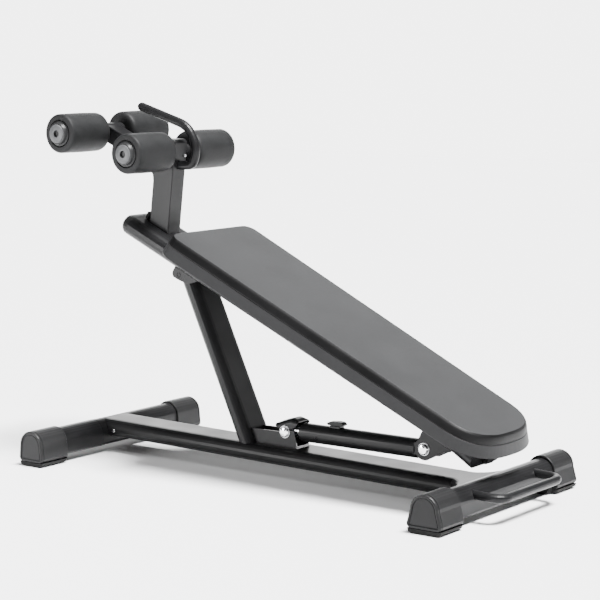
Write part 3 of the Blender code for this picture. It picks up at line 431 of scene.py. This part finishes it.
def foam_roller(row, tag):
    """Foam sleeve: rounded inner shoulder, slightly crowned body, flat outer end with a recess."""
    side = SIDES[tag]
    inner, length = span(f"foam_{row}_{tag}", side)
    profile = [(FOAM_BORE_R, 0.0), (0.0280, 0.0006), (0.0380, 0.0004), (0.0460, 0.0010), (0.0520, 0.0036),
               (0.0553, 0.0078), (FOAM_R, SHOULDER_IN)]
    body = length - SHOULDER_IN - SHOULDER_OUT
    for k in range(1, 10):
        t = k / 10
        profile.append((FOAM_R + FOAM_CROWN * sin(pi * t), SHOULDER_IN + body * t))
    profile += [(0.0569, length - 0.0062), (0.0564, length - 0.0042), (0.0535, length - 0.0010),
                (0.0520, length - 0.0002), (0.0505, length), (0.0404, length), (0.0394, length - 0.0012),
                (0.0390, length - 0.0140), (FOAM_BORE_R, length - 0.0142)]
    obj = turned(f"foam_sleeve_{row}_{tag}", profile, ROWS[row], side, inner, [FOAM], lambda i: 0)
    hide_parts(f"foam_{row}_{tag}")
    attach(obj, f"roller_{row}_{tag}")


def end_plug(row, tag):
    """Moulded core and end plug: hidden tube and disc, stepped boss, light face, small socket; the boss and
    socket are coloured darker as painted shade.
    """
    side = SIDES[tag]
    inner, end = span(f"core_{row}_{tag}", side)
    hidden = [(BORE_R, 0.0), (CORE_R, 0.0), (CORE_R, end - 0.0277), (PLUG_R, end - 0.0277),
              (PLUG_R, end - 0.0140)]
    boss = [(0.0355, end - 0.0131), (0.0330, end - 0.0128), (0.0322, end - 0.0115), (0.0314, end - 0.0052),
            (0.0300, end - 0.0034)]
    face = [(0.0268, end - 0.0028), (0.0262, end - 0.0008), (0.0250, end), (0.0112, end)]
    socket = [(0.0100, end - 0.0010), (0.0096, end - 0.0070), (0.0, end - 0.0076), (0.0, end - 0.0180),
              (BORE_R, end - 0.0180)]
    light_from = len(hidden) + len(boss)
    light_to = light_from + len(face)
    # boss, socket and hidden parts take the darker plastic: painted shade
    obj = turned(f"end_plug_{row}_{tag}", hidden + boss + face + socket, ROWS[row], side, inner,
                 [SHADE_PAINTED_PLUG, PLUG], lambda i: int(light_from <= i < light_to))
    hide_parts(f"core_{row}_{tag}")
    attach(obj, f"roller_{row}_{tag}")


def finer_pieces():
    cushion()
    for row in ROWS:
        for tag in SIDES:
            foam_roller(row, tag)
            end_plug(row, tag)


# ------------------------------------------------------------------ studio
def stand(name, data, place, aim):
    """Put a light or camera at place, looking at aim."""
    obj = bpy.data.objects.new(name, data)
    bpy.context.collection.objects.link(obj)
    obj.location = place
    obj.rotation_euler = (Vector(place) - Vector(aim)).to_track_quat("Z", "Y").to_euler()
    return obj


def lamp(name, kind, place, aim, energy, **settings):
    light = bpy.data.lights.new(name, kind)
    light.energy = energy
    for key, value in settings.items():
        setattr(light, key, value)
    stand(name, light, place, aim)


def floor():
    bm = bmesh.new()
    bmesh.ops.create_grid(bm, x_segments=2, y_segments=2, size=14.0)
    mesh = bpy.data.meshes.new("studio_floor")
    bm.to_mesh(mesh)
    bm.free()
    mesh.materials.append(floor_paper("pale_floor", FLOOR_TONE))
    obj = bpy.data.objects.new("studio_floor", mesh)
    bpy.context.collection.objects.link(obj)
    obj.location = (0, 0, -0.0005)


def background():
    """White world, bright behind the bench and dim elsewhere."""
    world = bpy.data.worlds.new("studio")
    world.use_nodes = True
    tree = world.node_tree
    back = tree.nodes["Background"]
    back.inputs["Color"].default_value = (1.0, 1.0, 1.0, 1.0)
    way = tree.nodes.new("ShaderNodeTexCoord")
    dot = tree.nodes.new("ShaderNodeVectorMath")
    dot.operation = "DOT_PRODUCT"
    dot.inputs[1].default_value = GLOW_WAY
    tree.links.new(way.outputs["Generated"], dot.inputs[0])
    glow = spread(tree, dot.outputs["Value"], GLOW_EDGE, GLOW_FULL, FILL_FRONT, FILL_BACK)
    tree.links.new(glow, back.inputs["Strength"])
    bpy.context.scene.world = world


def lights():
    lamp("sun", "SUN", SUN_FROM, (0.0, 0.0, 0.0), SUN_POWER, angle=radians(18))
    lamp("key", "AREA", (1.0, -1.6, 3.0), (0.2, 0.0, 0.4), 40, shape="RECTANGLE", size=1.6, size_y=1.0)
    lamp("side", "AREA", (-1.8, -2.4, 0.7), (-0.2, 0.0, 0.3), 55, shape="RECTANGLE", size=0.5, size_y=0.9)
    lamp("post_kick", "SPOT", (1.2, 1.5, 0.30), (-0.25, 0.0, 0.30), 480,
         spot_size=radians(15), spot_blend=0.6, shadow_soft_size=0.30)


def main_camera():
    camera = bpy.data.cameras.new("photo_camera")
    camera.lens = CAMERA_LENS
    camera.sensor_width = 36.0
    camera.clip_end = 100
    level = cos(CAMERA_ELEVATION)
    back = Vector((sin(CAMERA_AZIMUTH) * level, -cos(CAMERA_AZIMUTH) * level, sin(CAMERA_ELEVATION)))
    bpy.context.scene.camera = stand("photo_camera", camera, CAMERA_PLACE, Vector(CAMERA_PLACE) - back)


dress()
finer_pieces()
floor()
background()
lights()
main_camera()
